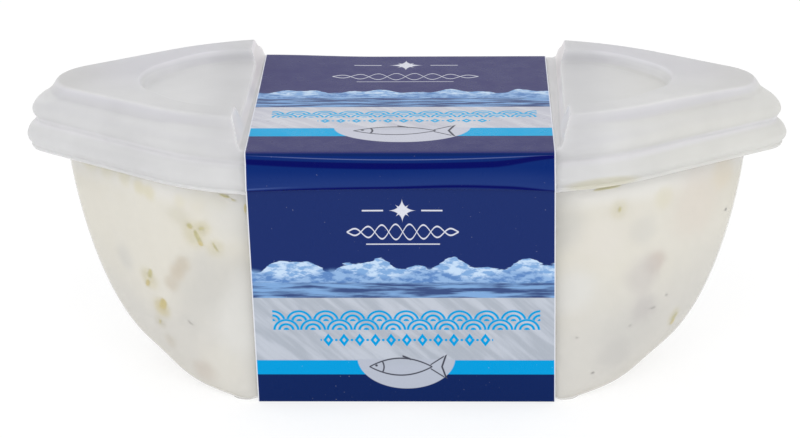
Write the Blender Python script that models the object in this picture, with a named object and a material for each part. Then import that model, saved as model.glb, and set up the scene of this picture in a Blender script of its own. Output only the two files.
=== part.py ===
"""A shut delicatessen tub of herring in yogurt sauce, with its cardboard sleeve.

The boat-shaped tub is thin moulded polypropylene, filled nearly to its rim. A
press-on lid of the same plastic covers it, with two beads round its skirt and a
raised border at each end. A printed band of thin card wraps tub and lid across
the middle and lies in the lid's shallow channel.

X runs along the tub, Y points to its back and Z up. The origin is the middle
of the pack, on the surface it stands on. The sizes below are in millimetres.
"""
import math
from collections import namedtuple

import bmesh
import bpy

MM = 0.001

# An outline seen from above: a flat side that curves away, tapers and ends in
# a round tip. The taper is the angle between the tapered side and X.
Outline = namedtuple("Outline", "half_length half_depth tip_radius taper side_radius")

# Finish of a node: colour, roughness and how opaque it is
Finish = namedtuple("Finish", "colour roughness alpha")

SHARP_EDGE_ANGLE = 30.0      # edges that turn by more than this stay sharp
GAP = 0.3                    # left between pieces that touch

# Card sleeve
CARD = 0.5
SLEEVE_HALF_WIDTH = 29.1
SLEEVE_BACK_SHIFT = -0.95    # the back fold has slipped to the left
SLEEVE_BASE_SHIFT = 0.5      # and the base to the right
SLEEVE_TOP = 54.55
SLEEVE_HALF_TOP = 33.8
SLEEVE_HALF_BASE = 22.85
SLEEVE_FOLD_CUT = 0.6        # flat across the folds at the top edges
SLEEVE_BASE_FOLD = (0.3, 0.5)    # the base folds' upper and lower ends, out and in
SLEEVE_NOTCH = (33.7, 51.9)
SLEEVE_BELLY = (34.12, 50.1)
SLEEVE_BEAD = (34.3, 48.3)
SLEEVE_FINISH = Finish((0.02, 0.05, 0.22), 0.35, 1.0)

# Tub
TUB_WALL = 0.9
TUB_BASE_Z = CARD + GAP
TUB_SIDE_TOP = 47.0
TUB_BASE = Outline(39.7, 22.1, 5.5, 82.2, 3.1)
TUB_TOP = Outline(67.2, 31.0, 9.0, 43.6, 45.0)
TUB_SWELL = (1.293, 2.789)   # how fast the ends swell out above the base
TUB_BLEND = 0.324            # how fast the outline turns from base to rim form
TUB_BASE_ROUND = 1.2
TUB_BASE_CUT = 0.7           # height of the flat that stands for the rounded base edge
FLANGE_UNDERSIDE = 49.3
FLANGE_TOP = 50.4
FLANGE = Outline(73.0, 31.9, 5.8, 38.0, 38.0)
TUB_POINTS = 17              # outline points in a quarter
TUB_OUTSIDE_LEVELS = 13
TUB_INSIDE_LEVELS = 10
LEVEL_CROWDING = 1.7         # above 1, the levels crowd towards the base
TUB_FINISH = Finish((0.86, 0.86, 0.84), 0.35, 0.5)

# Filling
FILL_LEVEL = 46.0
FILL_LEVELS = 9
FILL_FINISH = Finish((0.87, 0.84, 0.76), 0.5, 1.0)

# Lid
LID_WALL = 0.8
CHANNEL_FLOOR = 53.75
CHANNEL_HALF_WIDTH = 30.3
RIDGE_SLOPE = 3.0            # rise over run from the channel up to the lid's ends
RECESS_FLOOR = 57.1
BORDER_TOP = 59.8
LID_MIDDLE_X = (0.0, 10.0, 20.0, 27.0)
LID_BORDER_X = 35.0
LID_TIP_POINTS = 9
LID_FINISH = Finish((0.83, 0.83, 0.86), 0.3, 0.5)

# The lid's outer face from the skirt's lower edge to the recess floor:
# outline, height at the ends, height in the channel
LID_OUTSIDE = (
    (Outline(74.6, 33.0, 7.0, 38.0, 40.0), 46.8, 46.8),
    (Outline(75.2, 33.5, 7.5, 38.0, 40.0), 48.3, 48.3),
    (Outline(74.7, 33.2, 7.2, 38.0, 40.0), 50.3, 50.3),
    (Outline(73.2, 32.5, 6.5, 38.0, 40.0), 51.8, 51.8),
    (Outline(74.0, 32.8, 7.0, 38.0, 40.0), 53.8, 52.8),
    (Outline(73.0, 32.4, 7.2, 38.0, 41.0), 55.8, 53.5),
    (Outline(71.0, 31.4, 8.0, 37.5, 44.0), 57.2, CHANNEL_FLOOR),
    (Outline(69.9, 30.4, 9.0, 37.0, 47.0), 57.8, CHANNEL_FLOOR),
    (Outline(68.7, 29.3, 9.8, 36.0, 50.0), 59.2, CHANNEL_FLOOR),
    (Outline(67.9, 28.7, 9.5, 36.0, 50.0), BORDER_TOP, CHANNEL_FLOOR),
    (Outline(52.6, 20.2, 15.2, 50.0, 18.0), BORDER_TOP, CHANNEL_FLOOR),
    (Outline(52.1, 19.7, 14.7, 50.0, 17.5), 59.2, CHANNEL_FLOOR),
    (Outline(51.7, 19.3, 14.3, 50.0, 17.1), RECESS_FLOOR, CHANNEL_FLOOR),
)
# Where the lid's outer face meets the ridge's foot, the recess floor and the border
RIDGE_HEIGHTS = (CHANNEL_FLOOR, RECESS_FLOOR, BORDER_TOP)
UNDER_CHANNEL = CHANNEL_FLOOR - LID_WALL
UNDER_RECESS = RECESS_FLOOR - LID_WALL
UNDER_BORDER = BORDER_TOP - LID_WALL
UNDER_RIDGE_HEIGHTS = (UNDER_CHANNEL, UNDER_RECESS, UNDER_BORDER)
# The lid's inner face, from the recess back down to the skirt
LID_INSIDE = (
    (Outline(52.5, 20.1, 15.1, 50.0, 17.9), UNDER_RECESS, UNDER_CHANNEL),
    (Outline(53.1, 20.7, 15.7, 50.0, 18.5), UNDER_BORDER, UNDER_CHANNEL),
    (Outline(67.3, 28.1, 9.0, 36.0, 50.0), UNDER_BORDER, UNDER_CHANNEL),
    (Outline(69.2, 29.6, 8.6, 37.0, 47.0), 57.1, UNDER_CHANNEL),
    (Outline(71.9, 31.4, 6.8, 38.0, 41.0), 55.0, 52.7),
    (Outline(72.4, 31.7, 6.0, 38.0, 40.0), 51.8, 51.8),
    (Outline(74.0, 32.4, 6.6, 38.0, 40.0), 49.8, 49.8),
    (Outline(74.0, 32.4, 6.6, 38.0, 40.0), 46.8, 46.8),
)


def half_depth_at(outline, x):
    """Half the outline's depth at a distance x from its middle."""
    length, depth, tip, taper, side = outline
    angle = math.radians(taper)
    tip_centre = length - tip
    side_start = tip_centre + (tip - side - (depth - side) * math.cos(angle)) / math.sin(angle)
    side_end = side_start + side * math.sin(angle)
    taper_end = tip_centre + tip * math.sin(angle)
    if x <= side_start:
        return depth
    if x <= side_end:
        return depth - side + math.sqrt(side ** 2 - (x - side_start) ** 2)
    if x <= taper_end:
        return (tip - (x - tip_centre) * math.sin(angle)) / math.cos(angle)
    return math.sqrt(max(tip ** 2 - (x - tip_centre) ** 2, 0.0))


def loop_round(half_profile):
    """A closed loop of (x, y) from (x, half depth) pairs that run from middle to tip."""
    back = [(x, y) for x, y in reversed(half_profile)] + [(-x, y) for x, y in half_profile[1:]]
    front = [(x, -y) for x, y in reversed(back[1:-1])]
    return back + front


def tub_loop(outline):
    """Loop of the tub's outline, its points crowding towards the tips."""
    profile = []
    for i in range(TUB_POINTS + 1):
        x = outline.half_length * math.sin(math.pi / 2 * i / TUB_POINTS)
        profile.append((x, half_depth_at(outline, x)))
    profile[-1] = (outline.half_length, 0.0)
    return loop_round(profile)


def lid_loop(outline, ridge):
    """Loop of the lid's outline, with the ridge's places along X kept in each loop."""
    profile = [(x, half_depth_at(outline, x)) for x in (*LID_MIDDLE_X, *ridge, LID_BORDER_X)]
    span = outline.half_length - LID_BORDER_X
    for i in range(1, LID_TIP_POINTS):
        x = LID_BORDER_X + span * math.sin(math.pi / 2 * i / LID_TIP_POINTS)
        profile.append((x, half_depth_at(outline, x)))
    profile.append((outline.half_length, 0.0))
    return loop_round(profile)


def inset(outline, distance):
    """The parallel outline that lies a distance inside another."""
    return Outline(outline.half_length - distance, outline.half_depth - distance,
                   max(outline.tip_radius - distance, 0.5), outline.taper,
                   max(outline.side_radius - distance, 0.5))


def mix(a, b, share):
    return a + (b - a) * share


def hull_outline(height):
    """The tub's outline at a height between its base and the top of its sides."""
    rise = (height - TUB_BASE_Z) / (TUB_SIDE_TOP - TUB_BASE_Z)
    inner, outer = TUB_SWELL
    swell = (1.0 - (1.0 - rise) ** inner) ** (1.0 / outer)
    blend = rise ** TUB_BLEND
    return Outline(mix(TUB_BASE.half_length, TUB_TOP.half_length, swell),
                   mix(TUB_BASE.half_depth, TUB_TOP.half_depth, rise),
                   mix(TUB_BASE.tip_radius, TUB_TOP.tip_radius, blend),
                   mix(TUB_BASE.taper, TUB_TOP.taper, blend),
                   mix(TUB_BASE.side_radius, TUB_TOP.side_radius, blend))


def at_height(loop, height):
    return [(x, y, height) for x, y in loop]


def make_object(name, bm, finish):
    """Turn a bmesh in millimetres into a smooth-shaded object with its own material."""
    bmesh.ops.scale(bm, vec=(MM, MM, MM), verts=bm.verts)
    bmesh.ops.recalc_face_normals(bm, faces=bm.faces)
    mesh = bpy.data.meshes.new(name)
    bm.to_mesh(mesh)
    bm.free()
    mesh.shade_smooth()
    mesh.set_sharp_from_angle(angle=math.radians(SHARP_EDGE_ANGLE))
    material = bpy.data.materials.new(name + "_material")
    material.use_nodes = True
    shader = material.node_tree.nodes["Principled BSDF"]
    shader.inputs["Base Color"].default_value = (*finish.colour, 1.0)
    shader.inputs["Roughness"].default_value = finish.roughness
    shader.inputs["Metallic"].default_value = 0.0
    shader.inputs["Alpha"].default_value = finish.alpha
    mesh.materials.append(material)
    piece = bpy.data.objects.new(name, mesh)
    bpy.context.scene.collection.objects.link(piece)
    return piece


def skin(bm, rings):
    """Bridge a row of rings and close the first and the last, across from front to back."""
    count = len(rings[0])
    rows = [[bm.verts.new(point) for point in ring] for ring in rings]
    for low, high in zip(rows, rows[1:]):
        for i in range(count):
            j = (i + 1) % count
            bm.faces.new((low[i], low[j], high[j], high[i]))
    half = count // 2
    for row in (rows[0], rows[-1]):
        for i in range(half):
            corners = [row[i], row[i + 1], row[(count - i - 1) % count], row[(count - i) % count]]
            bm.faces.new(list(dict.fromkeys(corners)))


def hull_rings(distance, floor, top, levels):
    """Rings up the inside or outside of the hull, closer together near the base."""
    first = inset(hull_outline(floor), distance + TUB_BASE_ROUND)
    rings = [at_height(tub_loop(first), floor)]
    for i in range(levels):
        share = (i / (levels - 1)) ** LEVEL_CROWDING
        height = mix(floor + TUB_BASE_CUT, top, share)
        rings.append(at_height(tub_loop(inset(hull_outline(height), distance)), height))
    return rings


def make_tub():
    """The thin tub: walls, flat base and the flange that the lid is pressed over."""
    outside = hull_rings(0.0, TUB_BASE_Z, TUB_SIDE_TOP, TUB_OUTSIDE_LEVELS)
    flange = [
        at_height(tub_loop(TUB_TOP), FLANGE_UNDERSIDE),
        at_height(tub_loop(FLANGE), FLANGE_UNDERSIDE),
        at_height(tub_loop(FLANGE), FLANGE_TOP),
        at_height(tub_loop(inset(TUB_TOP, TUB_WALL)), FLANGE_TOP),
    ]
    inside = hull_rings(TUB_WALL, TUB_BASE_Z + TUB_WALL, TUB_SIDE_TOP, TUB_INSIDE_LEVELS)
    bm = bmesh.new()
    skin(bm, outside + flange + inside[::-1])
    return make_object("tub", bm, TUB_FINISH)


def make_filling():
    """The sauce with its fish, up to the level that shows through the wall."""
    distance = TUB_WALL + GAP
    rings = hull_rings(distance, TUB_BASE_Z + distance, FILL_LEVEL, FILL_LEVELS)
    bm = bmesh.new()
    skin(bm, rings)
    return make_object("filling", bm, FILL_FINISH)


def lid_rings(rows, foot, ridge_heights):
    """Rings of one face of the lid, level in the channel and up a ridge at each side of it."""
    ridge = [foot + (height - ridge_heights[0]) / RIDGE_SLOPE for height in ridge_heights]
    rings = []
    for outline, end_height, channel_height in rows:
        ring = []
        for x, y in lid_loop(outline, ridge):
            ridge_height = channel_height + max(abs(x) - foot, 0.0) * RIDGE_SLOPE
            ring.append((x, y, min(end_height, ridge_height)))
        rings.append(ring)
    return rings


def make_lid():
    """The press-on lid: beaded skirt, shoulder, raised borders, recesses and channel."""
    # The ridge's underside lies one wall behind its face, square to the slope.
    inside_foot = CHANNEL_HALF_WIDTH + LID_WALL * (math.hypot(1.0, RIDGE_SLOPE) - 1.0) / RIDGE_SLOPE
    outside = lid_rings(LID_OUTSIDE, CHANNEL_HALF_WIDTH, RIDGE_HEIGHTS)
    inside = lid_rings(LID_INSIDE, inside_foot, UNDER_RIDGE_HEIGHTS)
    bm = bmesh.new()
    # The recess floor and its underside close the two ends of this row of rings.
    skin(bm, inside + outside)
    return make_object("lid", bm, LID_FINISH)


def sleeve_outline():
    """The card's outer face in Y and Z, from the middle of its top round its front and base."""
    fold_out, fold_in = SLEEVE_BASE_FOLD
    half = [
        (0.0, SLEEVE_TOP),
        (SLEEVE_HALF_TOP - SLEEVE_FOLD_CUT, SLEEVE_TOP),
        (SLEEVE_HALF_TOP, SLEEVE_TOP - SLEEVE_FOLD_CUT),
        SLEEVE_NOTCH,
        SLEEVE_BELLY,
        SLEEVE_BEAD,
        (SLEEVE_HALF_BASE + fold_out, SLEEVE_FOLD_CUT),
        (SLEEVE_HALF_BASE - fold_in, 0.0),
    ]
    front = [(-y, z) for y, z in half]
    back = [(y, z) for y, z in reversed(half[1:])]
    return front + back


def offset_inward(path, distance):
    """A closed path in Y and Z moved inward by a distance, its corners kept."""
    moved = []
    count = len(path)
    for i in range(count):
        before, here, after = path[i - 1], path[i], path[(i + 1) % count]
        normals = []
        for start, end in ((before, here), (here, after)):
            dy, dz = end[0] - start[0], end[1] - start[1]
            length = math.hypot(dy, dz)
            normals.append((-dz / length, dy / length))
        ny = normals[0][0] + normals[1][0]
        nz = normals[0][1] + normals[1][1]
        scale = 2.0 * distance / (ny * ny + nz * nz)
        moved.append((here[0] + ny * scale, here[1] + nz * scale))
    return moved


def sleeve_shift(y, z):
    """How far the card has slipped along X: not at the front fold, more to the back and the base."""
    towards_back = 0.5 + 0.5 * y / SLEEVE_HALF_TOP
    towards_base = 1.0 - z / SLEEVE_TOP
    return SLEEVE_BACK_SHIFT * towards_back + SLEEVE_BASE_SHIFT * towards_base


def make_sleeve():
    """The band of thin card, folded round the lid and the tub."""
    outer = sleeve_outline()
    inner = offset_inward(outer, CARD)
    bm = bmesh.new()
    loops = []
    for path in (outer, inner):
        for side in (-1, 1):
            points = [(side * SLEEVE_HALF_WIDTH + sleeve_shift(y, z), y, z) for y, z in path]
            loops.append([bm.verts.new(point) for point in points])
    outer_left, outer_right, inner_left, inner_right = loops
    pairs = ((outer_left, outer_right), (outer_right, inner_right),
             (inner_right, inner_left), (inner_left, outer_left))
    count = len(outer)
    for first, second in pairs:
        for i in range(count):
            j = (i + 1) % count
            bm.faces.new((first[i], first[j], second[j], second[i]))
    return make_object("sleeve", bm, SLEEVE_FINISH)


def main():
    for old in list(bpy.data.objects):
        bpy.data.objects.remove(old, do_unlink=True)
    make_tub()
    make_filling()
    make_lid()
    make_sleeve()


main()
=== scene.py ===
import math
import random

import bmesh
import bpy
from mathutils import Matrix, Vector, noise


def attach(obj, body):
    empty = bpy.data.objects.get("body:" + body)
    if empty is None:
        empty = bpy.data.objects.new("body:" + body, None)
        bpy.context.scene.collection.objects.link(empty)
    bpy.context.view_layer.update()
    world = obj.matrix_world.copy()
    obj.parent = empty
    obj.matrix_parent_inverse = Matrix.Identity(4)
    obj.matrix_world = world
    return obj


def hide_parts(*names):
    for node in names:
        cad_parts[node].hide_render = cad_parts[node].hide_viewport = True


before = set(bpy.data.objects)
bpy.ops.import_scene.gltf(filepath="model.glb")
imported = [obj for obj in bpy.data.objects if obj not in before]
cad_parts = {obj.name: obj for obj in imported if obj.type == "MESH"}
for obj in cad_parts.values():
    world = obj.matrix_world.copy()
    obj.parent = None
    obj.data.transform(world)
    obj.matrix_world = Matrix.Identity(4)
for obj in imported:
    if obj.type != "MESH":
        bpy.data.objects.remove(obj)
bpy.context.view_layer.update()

# Studio: a pale floor that glows a little, an even soft light from all round and one
# broad soft light above the front. The camera stands where the photograph was taken.


def screen_colour(red, green, blue):
    """A colour given as it reads on a screen, 0 to 255, as the light values a shader takes."""
    linear = []
    for value in (red, green, blue):
        share = value / 255.0
        linear.append(share / 12.92 if share <= 0.04045 else ((share + 0.055) / 1.055) ** 2.4)
    return (*linear, 1.0)


class Ink:
    """One output among a material's nodes. Arithmetic on it adds Math nodes."""

    def __init__(self, tree, socket=None):
        self.tree = tree
        self.socket = socket

    def node(self, kind, settings, inputs, output=0):
        """Add a node: its settings first, then the values or links of its sockets."""
        made = self.tree.nodes.new("ShaderNode" + kind)
        for name, value in settings.items():
            setattr(made, name, value)
        for name, value in inputs.items():
            if isinstance(value, Ink):
                self.tree.links.new(value.socket, made.inputs[name])
            else:
                made.inputs[name].default_value = value
        return Ink(self.tree, made.outputs[output])

    def math(self, operation, *values):
        return self.node("Math", {"operation": operation}, dict(enumerate(values)))

    def __add__(self, other):
        return self.math("ADD", self, other)

    def __sub__(self, other):
        return self.math("SUBTRACT", self, other)

    def __rsub__(self, other):
        return self.math("SUBTRACT", other, self)

    def __mul__(self, other):
        return self.math("MULTIPLY", self, other)

    def __truediv__(self, other):
        return self.math("DIVIDE", self, other)

    def __pow__(self, other):
        return self.math("POWER", self, other)

    def __abs__(self):
        return self.math("ABSOLUTE", self)

    __radd__ = __add__
    __rmul__ = __mul__

    def sine(self):
        return self.math("SINE", self)

    def most(self, other):
        return self.math("MAXIMUM", self, other)

    def own_place(self):
        """The place of each point of the piece, in metres."""
        return self.node("TexCoord", {}, {}, "Object")

    def facing(self, axis):
        """How far the surface looks along one axis, from -1 to 1."""
        return self.node("NewGeometry", {}, {}, "Normal").part(axis)

    def rise(self, low, high, first=0.0, last=1.0):
        """Ease from the first value to the last as this one goes from low to high."""
        return self.node("MapRange", {"interpolation_type": "SMOOTHSTEP"},
                         {"Value": self, "From Min": low, "From Max": high,
                          "To Min": first, "To Max": last})

    def mixed(self, first, second):
        """Mix two colours, with this value as the share of the second."""
        return self.node("Mix", {"data_type": "RGBA"}, {0: self, 6: first, 7: second}, 2)

    def part(self, axis):
        """One of the three parts of a vector."""
        return self.node("SeparateXYZ", {}, {0: self}, axis)

    def times(self, factors):
        """A vector with each part scaled by its own factor."""
        return self.node("VectorMath", {"operation": "MULTIPLY"}, {0: self, 1: factors})

    def mottle(self, scale, detail=2.0, roughness=0.5):
        """Noise over this vector, from 0 to 1 with most of it near the middle."""
        return self.node("TexNoise", {}, {"Vector": self, "Scale": scale, "Detail": detail,
                                          "Roughness": roughness})

    def relief(self, distance, strength):
        """A normal from this height."""
        return self.node("Bump", {}, {"Height": self, "Distance": distance,
                                      "Strength": strength})


def new_material(name, finish):
    """A material and its nodes' first value. The finish gives the shader's even sockets."""
    material = bpy.data.materials.new(name)
    material.use_nodes = True
    shader = material.node_tree.nodes["Principled BSDF"]
    for socket, value in finish.items():
        shader.inputs[socket].default_value = value
    return material, Ink(material.node_tree), shader


def coat(shader, **inks):
    """Link values to the shader's sockets, named with underscores for spaces."""
    for name, ink in inks.items():
        ink.tree.links.new(ink.socket, shader.inputs[name.replace("_", " ")])


FLOOR_HALF = 3.0
FLOOR_CELLS = 12
floor_mesh = bpy.data.meshes.new("floor")
floor_form = bmesh.new()
floor_rows = []
for i in range(FLOOR_CELLS + 1):
    y = FLOOR_HALF * (2.0 * i / FLOOR_CELLS - 1.0)
    steps = [FLOOR_HALF * (2.0 * j / FLOOR_CELLS - 1.0) for j in range(FLOOR_CELLS + 1)]
    floor_rows.append([floor_form.verts.new((x, y, 0.0)) for x in steps])
for low, high in zip(floor_rows, floor_rows[1:]):
    for j in range(FLOOR_CELLS):
        floor_form.faces.new((low[j], low[j + 1], high[j + 1], high[j]))
floor_form.to_mesh(floor_mesh)
floor_form.free()
floor = bpy.data.objects.new("floor", floor_mesh)
bpy.context.scene.collection.objects.link(floor)
floor_paint, ink, shader = new_material("floor_paint", {
    "Roughness": 0.9, "Specular IOR Level": 0.0,
    "Emission Color": (1.0, 1.0, 1.0, 1.0), "Emission Strength": 0.72})
patchy = ink.own_place().mottle(3.0)
coat(shader, Base_Color=patchy.mixed(screen_colour(150, 150, 150), screen_colour(158, 158, 158)))
floor_mesh.materials.append(floor_paint)

world = bpy.data.worlds.new("even_light")
world.use_nodes = True
sky = world.node_tree.nodes["Background"]
sky.inputs["Color"].default_value = (1.0, 1.0, 1.0, 1.0)
sky.inputs["Strength"].default_value = 0.86
bpy.context.scene.world = world
bpy.context.scene.view_settings.view_transform = "Standard"

soft_light = bpy.data.lights.new("soft_light", "AREA")
soft_light.shape = "RECTANGLE"
soft_light.size = 0.7
soft_light.size_y = 0.35
soft_light.energy = 1.5
soft_light_stand = bpy.data.objects.new("soft_light", soft_light)
bpy.context.scene.collection.objects.link(soft_light_stand)
soft_light_stand.location = (0.03, -0.6, 0.62)
middle_of_pack = Vector((0.0, 0.0, 0.03))
aim = middle_of_pack - soft_light_stand.location
soft_light_stand.rotation_euler = aim.to_track_quat("-Z", "Y").to_euler()

PHOTO_WIDTH = 800            # in pixels, as is the focal length that fits the photograph
FOCAL_LENGTH = 3000
CAMERA_PLACE = (0.0196, -0.568796, 0.220206)
CAMERA_TURN = (71.5268, 0.6942, 1.8752)
camera = bpy.data.cameras.new("camera")
camera.sensor_width = 36.0
camera.lens = camera.sensor_width * FOCAL_LENGTH / PHOTO_WIDTH
camera.clip_start = 0.05
camera_stand = bpy.data.objects.new("camera", camera)
bpy.context.scene.collection.objects.link(camera_stand)
camera_stand.location = CAMERA_PLACE
camera_stand.rotation_euler = [math.radians(angle) for angle in CAMERA_TURN]
bpy.context.scene.camera = camera_stand

# Filling: cream yogurt sauce that lies against the tub's wall, with a soft uneven top.
# Fish and onion just behind the surface tint it in grey, pink and yellowish patches; pale patches
# beside the card are painted light.
# It takes its form from the tub, whose sizes in mm stand here for that reason.

MM = 0.001
TUB_FLOOR = 0.55             # over the card. Beyond the card the tub's foot reaches lower
FOOT_DROP = 0.5
FOOT_HEIGHT = 6.0            # the drop fades out this far up
FOOT_START = (29.5, 30.5)    # and sets in between these distances from the middle
CORNER_BY_CARD = 0.5         # rounding of the base's edge beside the card and at the ends
CORNER_AT_END = 2.0
CORNER_CHANGE = (30.0, 38.0)    # the one goes over to the other between these
CORNER_RINGS = 8
TUB_SIDE_TOP = 47.0
# Outlines seen from above: half length, half depth, tip radius, taper angle, side radius
TUB_BASE = (37.4, 22.45, 5.5, 82.2, 3.1)
TUB_TOP = (67.2, 31.0, 9.0, 43.6, 45.0)
TUB_SWELL = (1.38, 2.87)     # powers of the curve in which the length grows up the wall
TUB_BLEND = 0.324            # power of the climb by which the two radii and the taper grow
TUB_POINTS = 64
LEAST_RADIUS = 0.5
LEVEL_SPREAD = 1.6           # power that sets the wall's rings closer together near the base
FILL_DEPTH = 0.2             # below the tub's outside, so that it reaches into the wall
FILL_LEVEL = 46.0
FILL_RINGS = 40
FILL_TOP_RINGS = 27          # one for each millimetre in from the wall
FILL_TOP_FALL = 5.0          # the top's lumps reach their full height this far in
FILL_TOP_DIP = 0.4


def mix(a, b, share):
    """A value between two others."""
    return a + (b - a) * share


def mix_all(first, second, share):
    """A row of values between two others."""
    return [mix(a, b, share) for a, b in zip(first, second)]


def half_depth(outline, x):
    """Half the depth of an outline at a distance x from its middle."""
    length, depth, tip, taper, side = outline
    angle = math.radians(taper)
    tip_centre = length - tip
    side_start = tip_centre + (tip - side - (depth - side) * math.cos(angle)) / math.sin(angle)
    if x <= side_start:
        return depth
    if x <= side_start + side * math.sin(angle):
        return depth - side + math.sqrt(side ** 2 - (x - side_start) ** 2)
    if x <= tip_centre + tip * math.sin(angle):
        return (tip - (x - tip_centre) * math.sin(angle)) / math.cos(angle)
    return math.sqrt(max(tip ** 2 - (x - tip_centre) ** 2, 0.0))


def shrunk(outline, distance):
    """An outline moved inwards by a distance."""
    length, depth, tip, taper, side = outline
    return (length - distance, depth - distance, max(tip - distance, LEAST_RADIUS), taper,
            max(side - distance, LEAST_RADIUS))


def hull_outline(height, distance=0.0):
    """The tub's outline at a height, a distance inside its outer face."""
    climb = min(max((height - TUB_FLOOR) / (TUB_SIDE_TOP - TUB_FLOOR), 0.0), 1.0)
    swell = (1.0 - (1.0 - climb) ** TUB_SWELL[0]) ** (1.0 / TUB_SWELL[1])
    shares = (swell, climb, climb ** TUB_BLEND, climb ** TUB_BLEND, climb ** TUB_BLEND)
    outline = [mix(low, high, share) for low, high, share in zip(TUB_BASE, TUB_TOP, shares)]
    return shrunk(outline, distance)


def loop_round(half_profile):
    """A closed loop of (x, y) from pairs (x, half depth) that run from middle to tip."""
    back = half_profile[::-1] + [(-x, y) for x, y in half_profile[1:]]
    return back + [(x, -y) for x, y in reversed(back[1:-1])]


def tub_loop(outline):
    """An outline as a closed loop, with its points closer together towards the tips."""
    length = outline[0]
    steps = [length * math.sin(math.pi / 2 * i / TUB_POINTS) for i in range(TUB_POINTS)]
    return loop_round([(x, half_depth(outline, x)) for x in steps] + [(length, 0.0)])


def level_ring(loop, height):
    """A loop set at a height."""
    return [(x, y, height) for x, y in loop]


def smooth_share(value, low, high):
    """Ease from 0 to 1 as a value goes from low to high."""
    share = min(max((value - low) / (high - low), 0.0), 1.0)
    return share * share * (3.0 - 2.0 * share)


def foot_ring(loop, height):
    """A level ring of the hull that sags to the table beyond the card."""
    fade = FOOT_DROP * (1.0 - smooth_share(height, TUB_FLOOR, FOOT_HEIGHT))
    return [(x, y, height - fade * smooth_share(abs(x), *FOOT_START)) for x, y in loop]


def hull_rings(distance, floor, top, levels):
    """Rings up the hull from its flat base, round the base's edge and up the side."""
    rings = []
    for i in range(CORNER_RINGS):
        turn = math.pi / 2 * i / CORNER_RINGS
        near, far = [], []
        for ring, corner in ((near, CORNER_BY_CARD), (far, CORNER_AT_END)):
            height = floor + corner * (1.0 - math.cos(turn))
            inwards = distance + corner * (1.0 - math.sin(turn))
            ring += foot_ring(tub_loop(hull_outline(height, inwards)), height)
        rings.append([mix_all(a, b, smooth_share(abs(b[0]), *CORNER_CHANGE))
                      for a, b in zip(near, far)])
    for i in range(levels):
        height = mix(floor + CORNER_AT_END, top, (i / (levels - 1)) ** LEVEL_SPREAD)
        rings.append(foot_ring(tub_loop(hull_outline(height, distance)), height))
    return rings


def new_piece(name, form, material, node, sharp=40.0):
    """Turn a form in millimetres into a piece that stands for a node of the part."""
    bmesh.ops.scale(form, vec=(MM, MM, MM), verts=form.verts)
    bmesh.ops.recalc_face_normals(form, faces=form.faces)
    mesh = bpy.data.meshes.new(name)
    form.to_mesh(mesh)
    form.free()
    mesh.shade_smooth()
    mesh.set_sharp_from_angle(angle=math.radians(sharp))
    mesh.materials.append(material)
    piece = bpy.data.objects.new(name, mesh)
    bpy.context.scene.collection.objects.link(piece)
    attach(piece, "root")
    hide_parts(node)


def skin(form, rings):
    """Bridge a row of rings, and close the first and the last across from front to back."""
    count = len(rings[0])
    rows = [[form.verts.new(point) for point in ring] for ring in rings]
    for low, high in zip(rows, rows[1:]):
        for i in range(count):
            j = (i + 1) % count
            form.faces.new((low[i], low[j], high[j], high[i]))
    for row in (rows[0], rows[-1]):
        for i in range(count // 2):
            corners = [row[i], row[i + 1], row[(count - i - 1) % count], row[(count - i) % count]]
            form.faces.new(list(dict.fromkeys(corners)))


def sauce_top(x, y, fall):
    """Height of the sauce's top: soft lumps that fade out at the wall."""
    lumps = 0.0
    for pitch, layer, swing in ((0.07, 3.0, 1.6), (0.25, 8.0, 0.5)):
        lumps += noise.noise(Vector((x * pitch, y * pitch, layer))) * swing
    return FILL_LEVEL + (lumps - FILL_TOP_DIP) * fall


filling_rings = hull_rings(FILL_DEPTH, TUB_FLOOR + FILL_DEPTH, FILL_LEVEL, FILL_RINGS)
for i in range(1, FILL_TOP_RINGS + 1):
    outline = hull_outline(FILL_LEVEL, FILL_DEPTH + i)
    fall = min(i / FILL_TOP_FALL, 1.0)
    filling_rings.append([(x, y, sauce_top(x, y, fall)) for x, y in tub_loop(outline)])
filling_form = bmesh.new()
skin(filling_form, filling_rings)

SAUCE = screen_colour(235, 231, 218)
THIN_SAUCE = screen_colour(229, 224, 208)
# Painted shade low in the tub
LOW_SAUCE_SHADE = screen_colour(219, 216, 208)
# Painted shade where the wall turns under
SAUCE_UNDERSIDE_SHADE = screen_colour(212, 207, 193)
PINK = screen_colour(222, 206, 194)
YELLOW = screen_colour(226, 216, 164)
OLIVE = screen_colour(206, 196, 142)
GREY = screen_colour(208, 206, 199)
DARK_GREY = screen_colour(196, 193, 188)
# Painted light for the patches beside the card
PAINTED_LIGHT_BY_CARD = screen_colour(232, 231, 226)
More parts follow.
